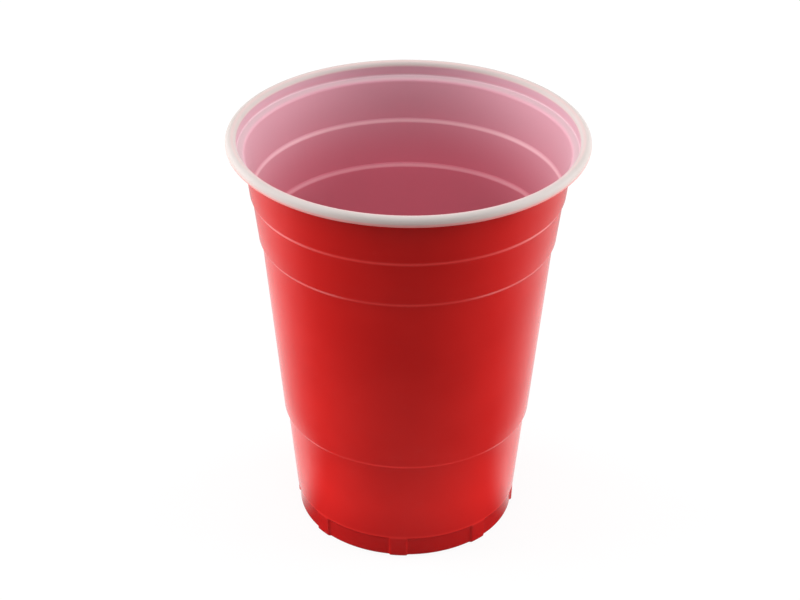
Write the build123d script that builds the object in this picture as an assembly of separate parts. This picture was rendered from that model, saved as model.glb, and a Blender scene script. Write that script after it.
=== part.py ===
from build123d import *
import math
import os

# Overall sizes in millimetres, measured on the outside of the sheet
cup_height = 118.2
rim_diameter = 98.0
waist_diameter = 63.7
sheet = 0.4

# Rolled rim, the collar below it and the stacking ledge
curl_diameter = 3.0
curl_turn = 290.0
collar_drop = 4.3
ledge_width = 2.15
ledge_fall = 0.5
ledge_bend = 0.7

# Steps in the side wall: how far each lies from the rim or the table, and how far it sets the wall in
upper_line_drop = 16.6
upper_line_inset = 0.65
lower_line_drop = 29.9
lower_line_inset = 0.8
grip_line_height = 33.1
grip_line_inset = 0.9
shoulder_height = 1.2
shoulder_bend = 0.6
upper_draft = 6.8

# Foot band, the ring that touches the table and the raised base inside it
foot_band_height = 6.2
foot_band_inset = 0.6
foot_shoulder = 0.8
foot_draft = 1.6
foot_bend = 0.6
ring_width = 3.7
base_rise = 3.0
base_slope_run = 1.6
base_bend = 0.9
centre_disc_radius = 16.0
centre_disc_rise = 0.6
centre_disc_run = 1.2

# Lugs spaced round the foot band
lug_count = 8
lug_width = 4.6
lug_flare = 0.45
lug_proud = 0.5
lug_edge_round = 0.25
first_lug_angle = -93.5

# Places that follow from the sizes above
rim_radius = rim_diameter / 2
collar_radius = rim_radius - curl_diameter + sheet
curl_centre = Vector(rim_radius - curl_diameter / 2, cup_height - curl_diameter / 2)
half_shoulder = shoulder_height / 2
upper_line = cup_height - upper_line_drop
lower_line = cup_height - lower_line_drop
ledge_z = cup_height - collar_drop - ledge_fall
ledge_radius = collar_radius - ledge_width
upper_slope = math.tan(math.radians(upper_draft))
waist_radius = waist_diameter / 2
waist_z = foot_band_height + foot_shoulder / 2
foot_top_z = foot_band_height - foot_shoulder / 2
foot_slope = math.tan(math.radians(foot_draft))

# Radius of the wall just above and just below the two upper lines
above_upper = ledge_radius - (ledge_z - upper_line - half_shoulder) * upper_slope
below_upper = above_upper - upper_line_inset
above_lower = below_upper - (upper_line - lower_line - shoulder_height) * upper_slope
below_lower = above_lower - lower_line_inset

# The long wall and the wall under the grip line share the taper that is left between them
wall_rise = (lower_line - half_shoulder - waist_z) - shoulder_height
wall_slope = (below_lower - waist_radius - grip_line_inset) / wall_rise
below_grip = waist_radius + (grip_line_height - half_shoulder - waist_z) * wall_slope
above_grip = below_grip + grip_line_inset


def foot_radius(z):
    """Outside radius of the foot band at a height above the table."""
    return waist_radius - foot_band_inset - (foot_top_z - z) * foot_slope


ring_inner = foot_radius(0) - ring_width
ring_middle = foot_radius(0) - ring_width / 2
base_radius = ring_inner - base_slope_run

# Corners of the outside of the sheet, from the base to the top of the collar, with their bends
outside = [
    (Vector(centre_disc_radius, base_rise + centre_disc_rise), base_bend),
    (Vector(centre_disc_radius + centre_disc_run, base_rise), base_bend),
    (Vector(base_radius, base_rise), base_bend),
    (Vector(ring_inner, 0), base_bend),
    (Vector(foot_radius(0), 0), foot_bend),
    (Vector(foot_radius(foot_top_z), foot_top_z), shoulder_bend),
    (Vector(waist_radius, waist_z), shoulder_bend),
    (Vector(below_grip, grip_line_height - half_shoulder), shoulder_bend),
    (Vector(above_grip, grip_line_height + half_shoulder), shoulder_bend),
    (Vector(below_lower, lower_line - half_shoulder), shoulder_bend),
    (Vector(above_lower, lower_line + half_shoulder), shoulder_bend),
    (Vector(below_upper, upper_line - half_shoulder), shoulder_bend),
    (Vector(above_upper, upper_line + half_shoulder), shoulder_bend),
    (Vector(ledge_radius, ledge_z), ledge_bend),
    (Vector(collar_radius, ledge_z + ledge_fall), ledge_bend),
]
base_middle = Vector(0, base_rise + centre_disc_rise)
collar_top = Vector(collar_radius, curl_centre.Y)


def left_of(direction):
    """Unit vector square to a direction in the section, to its left."""
    return direction.normalized().rotate(Axis.Z, 90)


def moved_in(before, corner, bend, after, depth):
    """One corner of the outside and its bend, both moved into the sheet by depth."""
    first, second = left_of(corner - before), left_of(after - corner)
    moved = corner + (first + second) * (depth / (1 + first.dot(second)))
    turns_left = first.cross(second).Z > 0
    return moved, bend - depth if turns_left else bend + depth


def sheet_line(depth):
    """Line from the axis to the top of the collar, at a depth below the outside of the sheet."""
    path = [base_middle] + [point for point, bend in outside] + [collar_top]
    inner = [moved_in(path[i], *outside[i], path[i + 2], depth) for i in range(len(outside))]
    start, end = base_middle + (0, depth), collar_top - (depth, 0)
    points = [start] + [point for point, bend in inner] + [end]
    return FilletPolyline(*points, radius=[bend for point, bend in inner])


def sheet_section():
    """Half section of the cup: the two sides of the sheet, its free edge in the curl and its middle."""
    outer, inner = sheet_line(0), sheet_line(sheet)
    curl_under = CenterArc(curl_centre, curl_diameter / 2 - sheet, 180, -curl_turn)
    curl_over = CenterArc(curl_centre, curl_diameter / 2, 180, -curl_turn)
    free_edge = Line(curl_under @ 1, curl_over @ 1)
    middle = Line(inner @ 0, outer @ 0)
    inner_side = [*inner.edges(), *curl_over.edges()]
    outer_side = [*outer.edges(), *curl_under.edges()]
    return make_face([*outer_side, free_edge, *inner_side, middle])


def inside_face(depth):
    """Half section of all that lies inside the sheet, measured from a depth within it."""
    line = sheet_line(depth)
    top = Vector(0, (line @ 1).Y)
    return make_face([*line.edges(), Line(line @ 1, top), Line(top, line @ 0)])


def band_profile(stand_out, floor, top):
    """Section of the foot band out to a face that stands proud of it, with the foot's rounded heel."""
    corners = [
        (ring_middle, floor),
        (foot_radius(floor) + stand_out, floor),
        (foot_radius(top) + stand_out, top),
        (ring_middle, top),
    ]
    profile = make_face(Polyline(*corners, close=True))
    heel = profile.vertices().group_by(Axis.Y)[0].sort_by(Axis.X)[-1]
    return fillet(heel, foot_bend - floor)


def lug_plan():
    """Outline of a lug seen from above, on the +X side, with its flared ends and rounded edges."""
    face_radius = foot_radius(waist_z) + lug_proud
    flare_radius = foot_radius(foot_top_z)
    half_face = lug_width / 2
    half_root = half_face + lug_flare
    half_outline = Polyline(
        (ring_middle, 0),
        (ring_middle, half_root),
        (flare_radius, half_root),
        (face_radius, half_face),
        (face_radius, 0),
    )
    plan = make_face([*half_outline.edges(), *mirror(half_outline, Plane.XZ).edges()])
    return fillet(plan.vertices().group_by(Axis.X)[-1], lug_edge_round)


# The lugs are pressed out of the sheet, so each has a pocket inside the cup
plan = lug_plan()
lug_section = band_profile(lug_proud, 0, waist_z) - inside_face(sheet / 2)
pocket_section = band_profile(lug_proud - sheet, sheet, waist_z + sheet)
lug = revolve(Plane.XZ * lug_section, Axis.Z) & extrude(plan, cup_height)
pocket = revolve(Plane.XZ * pocket_section, Axis.Z) & extrude(offset(plan, -sheet), cup_height)
places = [Rot(0, 0, first_lug_angle + i * 360 / lug_count) for i in range(lug_count)]
cup = revolve(Plane.XZ * sheet_section(), Axis.Z)
cup = cup + [place * lug for place in places]
cup = cup - [place * pocket for place in places]

os.makedirs("parts", exist_ok=True)
export_step(cup, "parts/cup.step")
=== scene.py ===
import math

import bpy
from mathutils import Matrix, Vector


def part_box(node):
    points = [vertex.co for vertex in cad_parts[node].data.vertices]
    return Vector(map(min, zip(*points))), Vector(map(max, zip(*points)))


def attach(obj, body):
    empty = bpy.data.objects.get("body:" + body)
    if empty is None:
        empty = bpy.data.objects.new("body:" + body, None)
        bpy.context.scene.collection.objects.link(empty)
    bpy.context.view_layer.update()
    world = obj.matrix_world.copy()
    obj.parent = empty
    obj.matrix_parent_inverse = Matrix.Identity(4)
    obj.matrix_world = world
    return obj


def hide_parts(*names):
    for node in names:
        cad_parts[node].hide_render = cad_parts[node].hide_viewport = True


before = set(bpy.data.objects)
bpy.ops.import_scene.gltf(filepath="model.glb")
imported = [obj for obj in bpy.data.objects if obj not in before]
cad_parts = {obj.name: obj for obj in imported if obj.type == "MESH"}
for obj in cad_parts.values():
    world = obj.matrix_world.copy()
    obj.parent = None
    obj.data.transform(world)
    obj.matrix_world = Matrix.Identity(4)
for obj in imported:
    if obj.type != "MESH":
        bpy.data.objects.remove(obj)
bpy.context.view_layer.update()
cup_low, cup_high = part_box("cup")

# Overall sizes of the cup in metres, from the frame
MM = 0.001
RIM_RADIUS = (cup_high.x - cup_low.x) / 2
CUP_HEIGHT = cup_high.z

# The sheet, its rolled rim, the collar below it and the stacking ledge
SHEET = 0.4 * MM
WAIST_RADIUS = 31.85 * MM
CURL_RADIUS = 1.5 * MM
CURL_TURN = math.radians(290)
COLLAR_DROP = 4.3 * MM
LEDGE_WIDTH = 2.15 * MM
LEDGE_FALL = 0.5 * MM
LEDGE_BEND = 0.7 * MM

# Steps in the side wall: how far each lies from the rim or the table, and how far it sets the wall in
UPPER_LINE_DROP = 16.6 * MM
UPPER_LINE_INSET = 0.65 * MM
LOWER_LINE_DROP = 29.9 * MM
LOWER_LINE_INSET = 0.8 * MM
GRIP_LINE_HEIGHT = 33.1 * MM
GRIP_LINE_INSET = 0.9 * MM
SHOULDER_HEIGHT = 1.2 * MM
SHOULDER_BEND = 0.6 * MM
UPPER_SLOPE = math.tan(math.radians(6.8))

# Foot band, foot ring and raised base
FOOT_BAND_HEIGHT = 6.2 * MM
FOOT_BAND_INSET = 0.6 * MM
FOOT_SHOULDER = 0.8 * MM
FOOT_SLOPE = math.tan(math.radians(1.6))
FOOT_BEND = 0.6 * MM
RING_WIDTH = 3.7 * MM
BASE_RISE = 3.0 * MM
BASE_SLOPE_RUN = 1.6 * MM
BASE_BEND = 0.9 * MM
DISC_RADIUS = 16.0 * MM
DISC_RISE = 0.6 * MM
DISC_RUN = 1.2 * MM

# Lugs round the foot band
LUG_COUNT = 8
LUG_WIDTH = 4.6 * MM
LUG_FLARE = 0.45 * MM
LUG_PROUD = 0.5 * MM
LUG_EDGE = 0.12 * MM
FIRST_LUG = math.radians(-93.5)

# Places that follow from the sizes above, and half of a lug's flat face and of its root, round the foot
COLLAR_RADIUS = RIM_RADIUS - 2 * CURL_RADIUS + SHEET
LEDGE_Z = CUP_HEIGHT - COLLAR_DROP - LEDGE_FALL
UPPER_LINE = CUP_HEIGHT - UPPER_LINE_DROP
LOWER_LINE = CUP_HEIGHT - LOWER_LINE_DROP
WAIST_Z = FOOT_BAND_HEIGHT + FOOT_SHOULDER / 2
FOOT_TOP = FOOT_BAND_HEIGHT - FOOT_SHOULDER / 2
HALF_FACE = LUG_WIDTH / 2 - LUG_EDGE
HALF_ROOT = LUG_WIDTH / 2 + LUG_FLARE + LUG_EDGE

# How finely the sheet is meshed
ARC_STEP = math.radians(11)
RUN_STEP = 5 * MM
LEAST_BEND_CUTS = 3
CURL_CUTS = 34
FACE_CUTS = 4
FLANK_CUTS = 7
BAY_CUTS = 26

# Material slots of the sheet's three finishes
RED_SLOT, WHITE_SLOT, RIM_SLOT = 0, 1, 2


# Form of the sheet

def foot_radius(z):
    """Outside radius of the foot band at a height above the table."""
    return WAIST_RADIUS - FOOT_BAND_INSET - (FOOT_TOP - z) * FOOT_SLOPE


def outside_corners(stand_out):
    """Corners of the outside of the sheet, from the base to the collar, as radius, height and bend.
    The foot band stands out by stand_out, as it does on the face of a lug."""
    half = SHOULDER_HEIGHT / 2
    ledge_radius = COLLAR_RADIUS - LEDGE_WIDTH
    above_upper = ledge_radius - (LEDGE_Z - UPPER_LINE - half) * UPPER_SLOPE
    below_upper = above_upper - UPPER_LINE_INSET
    above_lower = below_upper - (UPPER_LINE - LOWER_LINE - SHOULDER_HEIGHT) * UPPER_SLOPE
    below_lower = above_lower - LOWER_LINE_INSET
    wall_rise = (LOWER_LINE - half - WAIST_Z) - SHOULDER_HEIGHT
    wall_slope = (below_lower - WAIST_RADIUS - GRIP_LINE_INSET) / wall_rise
    below_grip = WAIST_RADIUS + (GRIP_LINE_HEIGHT - half - WAIST_Z) * wall_slope
    ring_inner = foot_radius(0) - RING_WIDTH
    return [
        (DISC_RADIUS, BASE_RISE + DISC_RISE, BASE_BEND),
        (DISC_RADIUS + DISC_RUN, BASE_RISE, BASE_BEND),
        (ring_inner - BASE_SLOPE_RUN, BASE_RISE, BASE_BEND),
        (ring_inner, 0, BASE_BEND),
        (foot_radius(0) + stand_out, 0, FOOT_BEND),
        (foot_radius(FOOT_TOP) + stand_out, FOOT_TOP, SHOULDER_BEND),
        (WAIST_RADIUS, WAIST_Z, SHOULDER_BEND),
        (below_grip, GRIP_LINE_HEIGHT - half, SHOULDER_BEND),
        (below_grip + GRIP_LINE_INSET, GRIP_LINE_HEIGHT + half, SHOULDER_BEND),
        (below_lower, LOWER_LINE - half, SHOULDER_BEND),
        (above_lower, LOWER_LINE + half, SHOULDER_BEND),
        (below_upper, UPPER_LINE - half, SHOULDER_BEND),
        (above_upper, UPPER_LINE + half, SHOULDER_BEND),
        (ledge_radius, LEDGE_Z, LEDGE_BEND),
        (COLLAR_RADIUS, LEDGE_Z + LEDGE_FALL, LEDGE_BEND),
    ]


def outside_path(stand_out):
    """Points of the outside from the axis up to the curl, and the bend at each one between its ends."""
    corners = outside_corners(stand_out)
    start = Vector((0, BASE_RISE + DISC_RISE))
    end = Vector((COLLAR_RADIUS, CUP_HEIGHT - CURL_RADIUS))
    points = [Vector((radius, z)) for radius, z, _ in corners]
    return [start, *points, end], [bend for _, _, bend in corners]


def left_of(direction):
    """Unit vector square to a direction in the section, to its left."""
    return Vector((-direction.y, direction.x)).normalized()


def line_cuts():
    """How many pieces each straight run of the section is cut into, and the bend after it."""
    path, _ = outside_path(0)
    cuts = []
    for before, corner, after in zip(path, path[1:], path[2:]):
        run, onward = corner - before, after - corner
        run_cuts = max(1, round(run.length / RUN_STEP))
        cuts.append((run_cuts, max(LEAST_BEND_CUTS, round(run.angle(onward) / ARC_STEP))))
    return cuts


def sheet_line(stand_out, depth, cuts):
    """Points of the line at a depth below the outside of the sheet, from the axis up to the curl.
    Lines with the same cuts have the same number of points, one opposite the other."""
    path, bends = outside_path(stand_out)
    sides = [left_of(b - a) for a, b in zip(path, path[1:])]
    moved = [path[0] + sides[0] * depth]
    for corner, first, second in zip(path[1:], sides, sides[1:]):
        moved.append(corner + (first + second) * (depth / (1 + first.dot(second))))
    moved.append(path[-1] + sides[-1] * depth)
    points = [moved[0]]
    for i, (run_cuts, bend_cuts) in enumerate(cuts):
        turn = sides[i + 1].angle_signed(sides[i])
        inwards = 1 if turn > 0 else -1
        bend = bends[i] - depth * inwards
        reach = bend * math.tan(abs(turn) / 2)
        run_start = points[-1]
        bend_start = moved[i + 1] - (moved[i + 1] - moved[i]).normalized() * reach
        centre = bend_start + sides[i] * bend * inwards
        points += [run_start.lerp(bend_start, k / run_cuts) for k in range(1, run_cuts + 1)]
        for k in range(1, bend_cuts + 1):
            points.append(centre + Matrix.Rotation(turn * k / bend_cuts, 2) @ (bend_start - centre))
    points.append(moved[-1])
    return points


def curl_line(radius):
    """Points of an arc of the curl, from the collar over the rim to the free edge."""
    centre = Vector((RIM_RADIUS - CURL_RADIUS, CUP_HEIGHT - CURL_RADIUS))
    turns = [math.pi - CURL_TURN * k / CURL_CUTS for k in range(1, CURL_CUTS + 1)]
    return [centre + radius * Vector((math.cos(t), math.sin(t))) for t in turns]


def sheet_outline(stand_out):
    """The whole section: up the outside, round the curl to its free edge, and back down the inside.
    Returns the points and how many of them lie on the outer layer."""
    cuts = line_cuts()
    outer = sheet_line(stand_out, 0, cuts) + curl_line(CURL_RADIUS - SHEET)
    inner = sheet_line(stand_out, SHEET, cuts) + curl_line(CURL_RADIUS)
    return outer + inner[::-1], len(outer)


def lug_share(arc):
    """How far a lug stands out at a distance round the foot from its middle, from 0 to 1."""
    t = min(1, max(0, (HALF_ROOT - abs(arc)) / (HALF_ROOT - HALF_FACE)))
    return t * t * (3 - 2 * t)


def ring_places():
    """Angle of each ring of points round the cup, and how far a lug stands out there."""
    radius = foot_radius(FOOT_BAND_HEIGHT) + LUG_PROUD
    pitch = 2 * math.pi * radius / LUG_COUNT
    stretches = [
        (-HALF_FACE, HALF_FACE, FACE_CUTS),
        (HALF_FACE, HALF_ROOT, FLANK_CUTS),
        (HALF_ROOT, pitch - HALF_ROOT, BAY_CUTS),
        (pitch - HALF_ROOT, pitch - HALF_FACE, FLANK_CUTS),
    ]
    arcs = [a + (b - a) * k / cuts for a, b, cuts in stretches for k in range(cuts)]
    places = []
    for lug in range(LUG_COUNT):
        for arc in arcs:
            share = max(lug_share(arc), lug_share(arc - pitch))
            places.append((FIRST_LUG + (lug * pitch + arc) / radius, share))
    return places


def turned_points(rings, plain, lugged):
    """The section's points, without its two ends on the axis, at each ring's angle."""
    points = []
    for angle, share in rings:
        for on_plain, on_lug in zip(plain[1:-1], lugged[1:-1]):
            p = on_plain.lerp(on_lug, share)
            points.append((p.x * math.cos(angle), p.x * math.sin(angle), p.y))
    return points


def turned_faces(ring_count, rows, middle_out, middle_in):
    """Faces from each ring to the next, from the outside's middle point to the inside's."""
    faces = []
    for i in range(ring_count):
        here, there = i * rows, (i + 1) % ring_count * rows
        faces.append((middle_out, there, here))
        faces += [(here + k, there + k, there + k + 1, here + k + 1) for k in range(rows - 1)]
        faces.append((middle_in, here + rows - 1, there + rows - 1))
    return faces


def cup_mesh():
    """The sheet turned round the axis, with the lugs pressed out of the foot band."""
    plain, outer_count = sheet_outline(0)
    lugged, _ = sheet_outline(LUG_PROUD)
    rings = ring_places()
    rows = len(plain) - 2
    points = turned_points(rings, plain, lugged)
    middle_out, middle_in = len(points), len(points) + 1
    points += [(0, 0, plain[0].y), (0, 0, plain[-1].y)]
    faces = turned_faces(len(rings), rows, middle_out, middle_in)
    white_count = rows + 1 - outer_count - CURL_CUTS
    ring_slots = [RED_SLOT] * outer_count + [RIM_SLOT] * CURL_CUTS + [WHITE_SLOT] * white_count
    mesh = bpy.data.meshes.new("cup_sheet")
    mesh.from_pydata(points, [], faces)
    mesh.polygons.foreach_set("material_index", ring_slots * len(rings))
    mesh.polygons.foreach_set("use_smooth", [True] * len(faces))
    free_edge = (outer_count - 2, outer_count - 1)
    for edge in mesh.edges:
        a, b = (v % rows for v in edge.vertices)
        edge.use_edge_sharp = a == b and a in free_edge and max(edge.vertices) < middle_out
    mesh.update()
    return mesh


def make_cup():
    cup = bpy.data.objects.new("cup_sheet", cup_mesh())
    bpy.context.scene.collection.objects.link(cup)
    for finish in (red_outer_layer(), white_inner_layer(), white_rim()):
        cup.data.materials.append(finish)
    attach(cup, "root")
    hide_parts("cup")


# Shader expressions

class Sock:
    """A node's output, with Python's operators for Math nodes."""

    def __init__(self, shop, socket):
        self.shop, self.socket = shop, socket

    def __add__(self, other):
        return self.shop.math("ADD", self, other)

    def __sub__(self, other):
        return self.shop.math("SUBTRACT", self, other)

    def __rsub__(self, other):
        return self.shop.math("SUBTRACT", other, self)

    def __mul__(self, other):
        return self.shop.math("MULTIPLY", self, other)

    def __mod__(self, other):
        return self.shop.math("FLOORED_MODULO", self, other)

    def __abs__(self):
        return self.shop.math("ABSOLUTE", self)

    __radd__, __rmul__ = __add__, __mul__

    def clamp(self):
        return self.shop.node("ShaderNodeClamp", {}, {"Value": self})

    def ramp(self, low, high):
        """0 below low, 1 above high and a smooth rise between them."""
        inputs = {"Value": self, "From Min": low, "From Max": high}
        return self.shop.node("ShaderNodeMapRange", {"interpolation_type": "SMOOTHSTEP"}, inputs)

    def near(self, place, reach):
        """1 at a place, falling smoothly to 0 at reach on either side of it."""
        return 1 - abs(self - place).ramp(0.0, reach)

    def between(self, low, high):
        """low where this is 0, high where it is 1, and in proportion between them."""
        return self * (high - low) + low


class Shop:
    """The nodes of one material or of the world."""

    def __init__(self, owner):
        owner.use_nodes = True
        self.tree = owner.node_tree
        self.tree.nodes.clear()

    def node(self, kind, settings, inputs, output=0):
        """A new node: its settings come first, then the value or the link of each input."""
        made = self.tree.nodes.new(kind)
        for name, value in settings.items():
            setattr(made, name, value)
        for name, value in inputs.items():
            if isinstance(value, Sock):
                self.tree.links.new(value.socket, made.inputs[name])
            else:
                made.inputs[name].default_value = value
        return Sock(self, made.outputs[output]) if made.outputs else None

    def math(self, kind, *values):
        return self.node("ShaderNodeMath", {"operation": kind}, dict(enumerate(values)))

    def place(self):
        """Place on the object, in metres."""
        return self.node("ShaderNodeTexCoord", {}, {}, "Object")

    def parts(self, vector):
        split = self.node("ShaderNodeSeparateXYZ", {}, {0: vector})
        return [Sock(self, out) for out in split.socket.node.outputs]

    def joined(self, x, y, z):
        return self.node("ShaderNodeCombineXYZ", {}, {0: x, 1: y, 2: z})

    def noise(self, vector, scale, detail=2.0, roughness=0.5):
        inputs = {"Vector": vector, "Scale": scale, "Detail": detail, "Roughness": roughness}
        return self.node("ShaderNodeTexNoise", {}, inputs)

    def mix(self, share, a, b):
        """Colour a where share is 0 and b where it is 1. The node's colour sockets go by number."""
        return self.node("ShaderNodeMix", {"data_type": "RGBA"}, {0: share, 6: a, 7: b}, 2)

    def mix_shaders(self, share, first, second):
        return self.node("ShaderNodeMixShader", {}, {0: share, 1: first, 2: second})

    def matt(self, paleness):
        return self.node("ShaderNodeBsdfDiffuse", {}, {"Color": (paleness, paleness, paleness, 1.0)})

    def glow(self, strength):
        return self.node("ShaderNodeEmission", {}, {"Color": WHITE, "Strength": strength})

    def bump(self, height, distance):
        return self.node("ShaderNodeBump", {}, {"Height": height, "Distance": distance, "Strength": 1.0})

    def finish(self, shader, kind="ShaderNodeOutputMaterial"):
        self.node(kind, {}, {"Surface": shader})


def srgb(red, green, blue):
    """A colour given as it looks on a screen, from 0 to 255."""
    parts = [c / 255 for c in (red, green, blue)]
    return [c / 12.92 if c <= 0.04045 else ((c + 0.055) / 1.055) ** 2.4 for c in parts] + [1.0]


# White of the glow of the floor and the world
WHITE = srgb(255, 255, 255)

# Colours of the red outer layer
RED = srgb(212, 24, 20)
CLOUDED_RED = srgb(218, 28, 24)
SCUFFED_RED = srgb(225, 60, 56)
# Painted shade: a darker red towards the foot, on the foot band and in the bays between the lugs
FOOT_SHADE_RED = srgb(150, 7, 10)
# Painted highlight: a paler red on the bends of the steps, at the top of the foot band and on the lugs'
# flanks
HIGHLIGHT_RED = srgb(255, 60, 56)

# How far those colours show, and how far up and down they reach
SCUFF_SHOWN = 0.08
FOOT_SHADE_SHOWN = 0.25
FOOT_SHADE_RISE = 12 * MM
BAND_SHADE_SHOWN = 0.28
BAY_SHADE_SHOWN = 0.06
FLANK_HIGHLIGHT_SHOWN = 0.12
FLANK_REACH = 0.35 * MM
FOOT_LINE_HIGHLIGHT = 0.25
RED_LINE_REACH = 0.95 * MM

# Colours of the white inner layer, which is thinner and pinker where it is drawn further
DEEP_PINK = srgb(212, 114, 133)
WALL_PINK = srgb(208, 149, 164)
COLLAR_PINK = srgb(206, 160, 174)
# Painted highlight: a paler pink on the bends of the steps
HIGHLIGHT_PINK = srgb(244, 205, 208)
LEDGE_GREY = srgb(196, 166, 172)
# Painted highlight on the two bends of the ledge
LEDGE_BEND_HIGHLIGHT = srgb(216, 178, 188)

# How far those colours show, and how far up, down and across they reach
DEEP_PINK_TOP = 86 * MM
WALL_PINK_START = 113 * MM
CLOUD_LIFT = 6 * MM
UPPER_LINE_SHOWN = 0.5
LOWER_LINE_SHOWN = 0.3
GRIP_LINE_SHOWN = 0.3
WHITE_LINE_REACH = 0.7 * MM
LEDGE_REACH = 0.75 * MM
LEDGE_BEND_REACH = 0.5 * MM

# Colours of the rim
RIM_WHITE = srgb(191, 182, 178)
CLOUDED_WHITE = srgb(197, 188, 185)
# Painted highlight: a paler crest on top of the curl
CREST_HIGHLIGHT = srgb(210, 184, 182)
# Painted light: a paler underside of the curl
UNDER_LIGHT_WHITE = srgb(222, 196, 191)
# The lip is pink, and its colour is made lighter as a painted glow
LIP_PINK_AND_GLOW = srgb(255, 172, 168)

# Where those colours lie: distances in from the edge of the rim, and depths below its top
CREST_INSET = 1.9 * MM
CREST_REACH = 0.8 * MM
CREST_HIGHLIGHT_SHOWN = 0.8
UNDER_DEPTHS = (0.6 * MM, 1.7 * MM)
LIP_DEPTHS = (1.55 * MM, 2.0 * MM)
INNER_SIDE_INSETS = (1.2 * MM, 2.4 * MM)
INNER_SIDE_DEPTHS = (0.9 * MM, 1.6 * MM)

# Patterns in the plastic, as scales per metre, and the two values between which one appears
SKIN_SCALE = 900.0
RED_STREAK_SCALE = 420.0
RED_CLOUD_SCALE = 38.0
RED_CLOUD_EDGE = (0.35, 0.65)
SCUFF_SCALE = 160.0
SCUFF_EDGE = (0.6, 0.78)
WHITE_STREAK_SCALE = 300.0
WHITE_CLOUD_SCALE = 30.0
RIM_CLOUD_SCALE = 45.0
RIM_CLOUD_EDGE = (0.3, 0.7)

# How much faster a pattern changes up the wall than round it: streaks run up it, scuffs lie flat
STREAK_STRETCH = 0.2
SCUFF_STRETCH = 3

# Gloss of the plastic, and the height of its faint relief
PLASTIC_IOR = 1.5
RED_GLOSS = 0.5
RED_ROUGHNESS = 0.21
RED_STREAK_ROUGHNESS = 0.04
SCUFF_ROUGHNESS = 0.06
WHITE_GLOSS = 0.28
WHITE_ROUGHNESS = 0.42
WHITE_STREAK_ROUGHNESS = 0.06
WHITE_SHEEN = 0.3
SHEEN_ROUGHNESS = 0.6
RIM_GLOSS = 0.15
RIM_ROUGHNESS = 0.5
RIM_CLOUD_ROUGHNESS = 0.08
RELIEF = 0.01 * MM
STREAK_RELIEF = 0.5
SKIN_RELIEF = 0.2
RIM_SKIN_RELIEF = 0.3


# Finishes

def distance_from_axis(shop, x, y):
    return shop.node("ShaderNodeVectorMath", {"operation": "LENGTH"}, {0: shop.joined(x, y, 0.0)}, "Value")


def drawn_patterns(shop, place, streak_scale, cloud_scale):
    """Streaks drawn out up the wall, soft clouds and the fine skin of the plastic, each round 0.5."""
    x, y, z = shop.parts(place)
    streaks = shop.noise(shop.joined(x, y, z * STREAK_STRETCH), streak_scale, detail=3.0)
    return streaks, shop.noise(place, cloud_scale), shop.noise(place, SKIN_SCALE, detail=1.0)


def highlight_lines(z, reach):
    """1 on the upper line, then on the lower line, then on the grip line: the bends of the steps, where a
    highlight is painted.
    """
    return z.near(UPPER_LINE, reach), z.near(LOWER_LINE, reach), z.near(GRIP_LINE_HEIGHT, reach)


def foot_shares(shop, x, y, z):
    """1 on the foot band, then 1 on the bays of it between the lugs, then 1 along the lugs' flanks. The
    first two carry painted shade, the third a painted highlight.
    """
    pitch = 2 * math.pi / LUG_COUNT
    turned = shop.math("ARCTAN2", y, x) - (FIRST_LUG - pitch / 2)
    arc = abs(turned % pitch - pitch / 2) * foot_radius(FOOT_BAND_HEIGHT)
    flank = (LUG_WIDTH + LUG_FLARE) / 2
    band = 1 - z.ramp(FOOT_BAND_HEIGHT, WAIST_Z)
    bays = arc.ramp(flank - FLANK_REACH, flank + FLANK_REACH) * band
    return band, bays, arc.near(flank, FLANK_REACH) * band


def plastic(shop, color, roughness, gloss, relief, sheen=0.0):
    """Moulded plastic. Its gloss and its sheen are the same all over a finish."""
    return shop.node("ShaderNodeBsdfPrincipled", {}, {
        "Base Color": color, "Roughness": roughness, "IOR": PLASTIC_IOR, "Specular IOR Level": gloss,
        "Sheen Weight": sheen, "Sheen Roughness": SHEEN_ROUGHNESS, "Normal": shop.bump(relief, RELIEF)})


def red_outer_layer():
    """Glossy red plastic, lightly rubbed, with painted shade towards the foot and painted highlights on its
    bends.
    """
    material = bpy.data.materials.new("red_outer_layer")
    shop = Shop(material)
    place = shop.place()
    x, y, z = shop.parts(place)
    streaks, cloud, skin = drawn_patterns(shop, place, RED_STREAK_SCALE, RED_CLOUD_SCALE)
    rubbed = shop.noise(shop.joined(x, y, z * SCUFF_STRETCH), SCUFF_SCALE, detail=4.0, roughness=0.7)
    scuffs = rubbed.ramp(*SCUFF_EDGE)
    color = shop.mix(cloud.ramp(*RED_CLOUD_EDGE), RED, CLOUDED_RED)
    color = shop.mix(scuffs * SCUFF_SHOWN, color, SCUFFED_RED)
    # Painted shade towards the foot, on the foot band and in its bays
    foot_shade = 1 - z.ramp(WAIST_Z, WAIST_Z + FOOT_SHADE_RISE)
    band, bays, flanks = foot_shares(shop, x, y, z)
    color = shop.mix(foot_shade * FOOT_SHADE_SHOWN + band * BAND_SHADE_SHOWN + bays * BAY_SHADE_SHOWN, color, FOOT_SHADE_RED)
    # Painted highlights on the bends of the steps, at the top of the foot band and on the lugs' flanks
    upper, lower, grip = highlight_lines(z, RED_LINE_REACH)
    foot_line_highlight = z.near(WAIST_Z, RED_LINE_REACH) * FOOT_LINE_HIGHLIGHT
    red_highlights = (upper + lower + grip + foot_line_highlight + flanks * FLANK_HIGHLIGHT_SHOWN).clamp()
    color = shop.mix(red_highlights, color, HIGHLIGHT_RED)
    roughness = RED_ROUGHNESS + (streaks - 0.5) * RED_STREAK_ROUGHNESS + scuffs * SCUFF_ROUGHNESS
    relief = streaks * STREAK_RELIEF + skin * SKIN_RELIEF + cloud
    shop.finish(plastic(shop, color, roughness, RED_GLOSS, relief))
    return material


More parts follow.
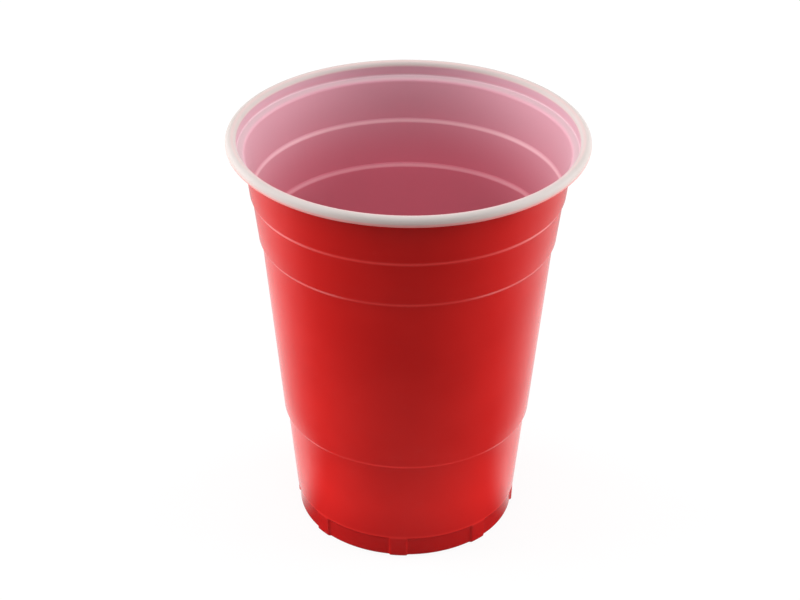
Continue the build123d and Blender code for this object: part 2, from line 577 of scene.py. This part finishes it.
def white_inner_layer():
    """White plastic over the red, thinner and pinker down the drawn wall, with painted highlights on its
    bends.
    """
    material = bpy.data.materials.new("white_inner_layer")
    shop = Shop(material)
    place = shop.place()
    x, y, z = shop.parts(place)
    streaks, cloud, skin = drawn_patterns(shop, place, WHITE_STREAK_SCALE, WHITE_CLOUD_SCALE)
    height = z + (cloud - 0.5) * CLOUD_LIFT
    color = shop.mix(height.ramp(DEEP_PINK_TOP, WALL_PINK_START), DEEP_PINK, WALL_PINK)
    # Painted highlights on the bends of the steps
    upper, lower, grip = highlight_lines(z, WHITE_LINE_REACH)
    lines = upper * UPPER_LINE_SHOWN + lower * LOWER_LINE_SHOWN + grip * GRIP_LINE_SHOWN
    color = shop.mix(lines, color, HIGHLIGHT_PINK)
    color = shop.mix(z.ramp(CUP_HEIGHT - COLLAR_DROP, CUP_HEIGHT - CURL_RADIUS), color, COLLAR_PINK)
    ledge = z.near(CUP_HEIGHT - COLLAR_DROP + LEDGE_FALL / 2, LEDGE_REACH)
    color = shop.mix(ledge, color, LEDGE_GREY)
    radius = distance_from_axis(shop, x, y)
    # Painted highlights on the two bends of the ledge
    outer_bend = radius.near(COLLAR_RADIUS - SHEET, LEDGE_BEND_REACH)
    inner_bend = radius.near(COLLAR_RADIUS - SHEET - LEDGE_WIDTH, LEDGE_BEND_REACH)
    color = shop.mix((inner_bend + outer_bend).clamp() * ledge, color, LEDGE_BEND_HIGHLIGHT)
    roughness = WHITE_ROUGHNESS + (streaks - 0.5) * WHITE_STREAK_ROUGHNESS
    relief = streaks * STREAK_RELIEF + skin * SKIN_RELIEF + cloud
    shop.finish(plastic(shop, color, roughness, WHITE_GLOSS, relief, WHITE_SHEEN))
    return material


def below_top(z, depths):
    """0 down to the first depth below the top of the rim, and 1 from the second one on."""
    return 1 - z.ramp(CUP_HEIGHT - depths[1], CUP_HEIGHT - depths[0])


def white_rim():
    """The rolled rim: greyer and less glossy than the wall, pink at its lip and its inner side, and painted
    with light on its crest, underside and lip.
    """
    material = bpy.data.materials.new("white_rim")
    shop = Shop(material)
    place = shop.place()
    x, y, z = shop.parts(place)
    cloud = shop.noise(place, RIM_CLOUD_SCALE)
    skin = shop.noise(place, SKIN_SCALE, detail=1.0)
    inset = RIM_RADIUS - distance_from_axis(shop, x, y)
    color = shop.mix(cloud.ramp(*RIM_CLOUD_EDGE), RIM_WHITE, CLOUDED_WHITE)
    # Painted highlight on the crest of the curl
    color = shop.mix(inset.near(CREST_INSET, CREST_REACH) * CREST_HIGHLIGHT_SHOWN, color, CREST_HIGHLIGHT)
    # Painted light on the underside of the curl
    color = shop.mix(below_top(z, UNDER_DEPTHS), color, UNDER_LIGHT_WHITE)
    # The lip's own pink, lightened as a painted glow
    color = shop.mix(below_top(z, LIP_DEPTHS), color, LIP_PINK_AND_GLOW)
    inner_side = inset.ramp(*INNER_SIDE_INSETS) * below_top(z, INNER_SIDE_DEPTHS)
    color = shop.mix(inner_side, color, COLLAR_PINK)
    roughness = RIM_ROUGHNESS + (cloud - 0.5) * RIM_CLOUD_ROUGHNESS
    shop.finish(plastic(shop, color, roughness, RIM_GLOSS, skin * RIM_SKIN_RELIEF + cloud))
    return material


# The floor, which lights the cup and is mirrored in it as if a dark card lay on it in front
FLOOR_SIZE = 6.0
FLOOR_GAP = 0.05 * MM
FLOOR_PALE = 0.85
FLOOR_SHOWN_WHITE = 0.88
CARD_PALE = 0.2
CARD_MIRRORED = 0.05
FAR_DIMMED = 0.4
POOL_FRONT = 0.85

# Where round the cup the floor changes, from -1 in front to 1 behind
PALE_EDGE = (-0.95, 0.2)
MIRROR_EDGE = (-0.45, 0.8)
BESIDE_EDGE = (-0.5, 0.1)
POOL_EDGE = (-1.0, -0.4)

# Where the floor changes outwards from the axis of the cup, in metres
FAR_REACH = (0.11, 0.2)
BESIDE_REACH = (0.04, 0.08)
POOL_REACH = (0.045, 0.135)

# Light from all round: how strong it is in front, behind and from high above, and where it changes
WORLD_FRONT = 0.05
WORLD_BACK = 0.12
WORLD_EDGE = (-0.9, 0.6)
WORLD_TOP = 1.5
WORLD_TOP_EDGE = (0.5, 1.0)

# Soft lamps: places and sizes in metres, and powers in watts
SIDE_LAMP_PLACE = (0.9, 0.12, 0.36)
SIDE_LAMP_SIZE = (0.8, 0.5)
TOP_LAMP_PLACE = (0, 0.1, 1.2)
FRONT_LAMP_PLACE = (0, -0.7, 1.0)
BROAD_LAMP_SIZE = (0.9, 0.9)
LEFT_POWER = 10.2
RIGHT_POWER = 8.8
TOP_POWER = 0.5
FRONT_POWER = 2.9

# The camera, fitted to the photograph: lens and picture width in millimetres, place in metres, and turns
LENS = 87.42
SENSOR = 36.0
CAMERA_PLACE = Vector((0, -0.46898, 0.34496))
CAMERA_DOWN = math.radians(30.747)
CAMERA_RIGHT = math.radians(-0.241)
CAMERA_ROLL = math.radians(0.3434)
CAMERA_CLIP = (0.05, 50)


# Stage, light and camera

def ray_shares(shop):
    """1 for rays of a kind and 0 for others: seen by the camera or through a clear thing, and reflected."""
    path = shop.node("ShaderNodeLightPath", {}, {})
    outs = {out.name: Sock(shop, out) for out in path.socket.node.outputs}
    return (outs["Is Camera Ray"] + outs["Is Transmission Ray"]).clamp(), outs["Is Glossy Ray"]


def behind_share(shop, x, y, edge):
    """0 in front of the cup and 1 behind it, with a smooth rise over an edge."""
    around = shop.node("ShaderNodeVectorMath", {"operation": "NORMALIZE"}, {0: shop.joined(x, y, 0.0)})
    return shop.parts(around)[1].ramp(*edge)


def floor_finish():
    """Pale matt floor. It shows white, with the cup's shadow on it. The cup sees it pale behind, beside and
    close round the foot, and dark in front. Only the camera and gloss see its glow, so it is no lamp."""
    material = bpy.data.materials.new("pale_floor")
    material.cycles.emission_sampling = "NONE"
    shop = Shop(material)
    x, y, _ = shop.parts(shop.place())
    seen, mirrored = ray_shares(shop)
    away = distance_from_axis(shop, x, y)
    pool = (1 - away.ramp(*POOL_REACH)) * behind_share(shop, x, y, POOL_EDGE).between(POOL_FRONT, 1)
    pale = (behind_share(shop, x, y, PALE_EDGE) + pool).clamp()
    matt = shop.mix_shaders((seen + pale).clamp(), shop.matt(CARD_PALE), shop.matt(FLOOR_PALE))
    shown = shop.mix_shaders(seen * FLOOR_SHOWN_WHITE, matt, shop.glow(1.0))
    beside = (1 - away.ramp(*BESIDE_REACH)) * behind_share(shop, x, y, BESIDE_EDGE)
    bright = (behind_share(shop, x, y, MIRROR_EDGE) + beside).clamp()
    bright = bright * (1 - away.ramp(*FAR_REACH) * FAR_DIMMED)
    reflection = shop.mix_shaders(bright, shop.glow(CARD_MIRRORED), shop.glow(1.0))
    shop.finish(shop.mix_shaders(mirrored, shown, reflection))
    return material


def make_floor():
    half = FLOOR_SIZE / 2
    corners = [(-half, -half, 0), (half, -half, 0), (half, half, 0), (-half, half, 0)]
    mesh = bpy.data.meshes.new("floor")
    mesh.from_pydata(corners, [], [(0, 1, 2, 3)])
    mesh.materials.append(floor_finish())
    floor = bpy.data.objects.new("floor", mesh)
    floor.location.z = -FLOOR_GAP
    bpy.context.scene.collection.objects.link(floor)


def make_world():
    """Even studio light, stronger from behind and above. It shows white, and is mirrored dark in front."""
    world = bpy.data.worlds.new("studio")
    bpy.context.scene.world = world
    shop = Shop(world)
    x, y, z = shop.parts(shop.node("ShaderNodeTexCoord", {}, {}, "Generated"))
    seen, mirrored = ray_shares(shop)
    light = y.ramp(*WORLD_EDGE).between(WORLD_FRONT, WORLD_BACK) + z.ramp(*WORLD_TOP_EDGE) * WORLD_TOP
    reflection = behind_share(shop, x, y, MIRROR_EDGE).between(CARD_MIRRORED, 1)
    strength = mirrored.between(seen.between(light, 1), reflection)
    background = shop.node("ShaderNodeBackground", {}, {"Color": WHITE, "Strength": strength})
    shop.finish(background, "ShaderNodeOutputWorld")


def soft_lamp(name, place, size, power):
    """A broad lamp that points at the middle of the cup."""
    lamp = bpy.data.lights.new(name, "AREA")
    lamp.shape = "RECTANGLE"
    lamp.size, lamp.size_y = size
    lamp.energy = power
    holder = bpy.data.objects.new(name, lamp)
    holder.location = place
    towards_cup = Vector((0, 0, CUP_HEIGHT / 2)) - Vector(place)
    holder.rotation_euler = towards_cup.to_track_quat("-Z", "Y").to_euler()
    bpy.context.scene.collection.objects.link(holder)


def make_lamps():
    """One lamp at each side, a faint one above and one high in front."""
    side, back, height = SIDE_LAMP_PLACE
    soft_lamp("left_lamp", (-side, back, height), SIDE_LAMP_SIZE, LEFT_POWER)
    soft_lamp("right_lamp", (side, back, height), SIDE_LAMP_SIZE, RIGHT_POWER)
    soft_lamp("top_lamp", TOP_LAMP_PLACE, BROAD_LAMP_SIZE, TOP_POWER)
    soft_lamp("front_lamp", FRONT_LAMP_PLACE, BROAD_LAMP_SIZE, FRONT_POWER)


def make_camera():
    camera = bpy.data.cameras.new("camera")
    camera.lens, camera.sensor_width = LENS, SENSOR
    camera.clip_start, camera.clip_end = CAMERA_CLIP
    holder = bpy.data.objects.new("camera", camera)
    turn = Matrix.Rotation(-CAMERA_RIGHT, 4, "Z") @ Matrix.Rotation(math.pi / 2 - CAMERA_DOWN, 4, "X")
    holder.matrix_world = Matrix.Translation(CAMERA_PLACE) @ turn @ Matrix.Rotation(CAMERA_ROLL, 4, "Z")
    bpy.context.scene.collection.objects.link(holder)
    bpy.context.scene.camera = holder


make_cup()
make_floor()
make_world()
make_lamps()
make_camera()
bpy.context.scene.view_settings.view_transform = "Standard"

bpy.context.view_layer.update()
